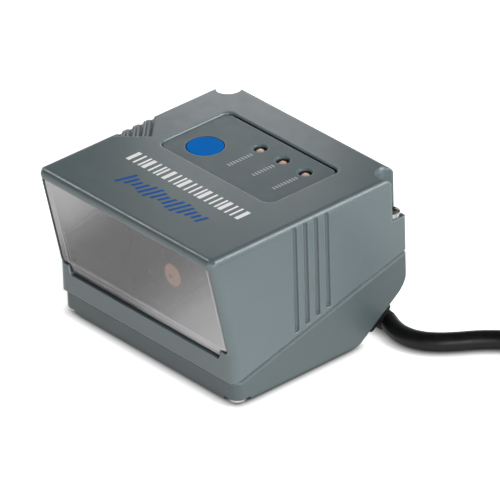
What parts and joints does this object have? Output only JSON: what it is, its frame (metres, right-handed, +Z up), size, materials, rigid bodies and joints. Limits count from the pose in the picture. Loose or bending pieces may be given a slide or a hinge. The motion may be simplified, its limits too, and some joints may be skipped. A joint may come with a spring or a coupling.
{
  "type": "fixed barcode reader",
  "caption": "Compact grey box-shaped fixed barcode reader with a leaning scan window, a blue trigger button, indicator lamps and a black lead that ends in a plug.",
  "frame": {"origin": "middle of the underside of the case, on the surface that it stands on", "axes": "+Z up, -Y towards the window's side, +X to the right seen from the front"},
  "size_m": [0.2027, 0.0878, 0.0414],
  "materials": {
    "case": "fine moulded texture, satin grey",
    "window": "clear polished plastic",
    "panel": "fine matt grey",
    "button": "satin blue",
    "lamp": "clear moulded lamp",
    "board": "green solder resist",
    "dark_board": "black solder resist",
    "smoked": "smoked moulded cap",
    "gasket": "pale moulded seal",
    "black_plastic": "matt black",
    "lens_glass": "coated glass",
    "chip": "black moulded chip",
    "flat_cable": "amber film",
    "connector": "white moulded",
    "steel": "zinc plated",
    "brass": "turned",
    "cable": "satin black jacket",
    "tie": "black nylon",
    "plug": "black overmould",
    "plug_metal": "nickel plated"
  },
  "bodies": {
    "reader": {"top_cover": "case", "base": "case", "window": "window", "window_seal": "gasket", "indicator_panel": "panel", "indicator_lamps": "lamp", "indicator_board": "board", "trigger_switch": "black_plastic", "engine_chassis": "black_plastic", "lens_barrel": "black_plastic", "lens": "lens_glass", "illumination_board": "dark_board", "illumination_lamps": "smoked", "aimer": "black_plastic", "sensor_board": "board", "image_sensor": "chip", "main_board": "board", "board_chips": "chip", "beeper": "black_plastic", "flat_cable": "flat_cable", "lead_connector": "connector", "inner_lead": "cable", "inner_screws": "steel", "rear_screws": "steel", "front_screws": "steel", "mounting_inserts": "brass", "strain_relief": "cable", "cable": "cable", "cable_coil": "cable", "cable_tail": "cable", "cable_tie": "tie", "plug_body": "plug", "plug_shell": "plug_metal", "plug_tongue": "connector"},
    "button": {"trigger_button": "button"}
  },
  "joints": [
    {"name": "trigger_press", "type": "slide", "parent": "reader", "child": "button", "axis": [0, 0, -1], "range_m": [0, 0.0004], "stiffness_N_per_m": 7500}
  ]
}
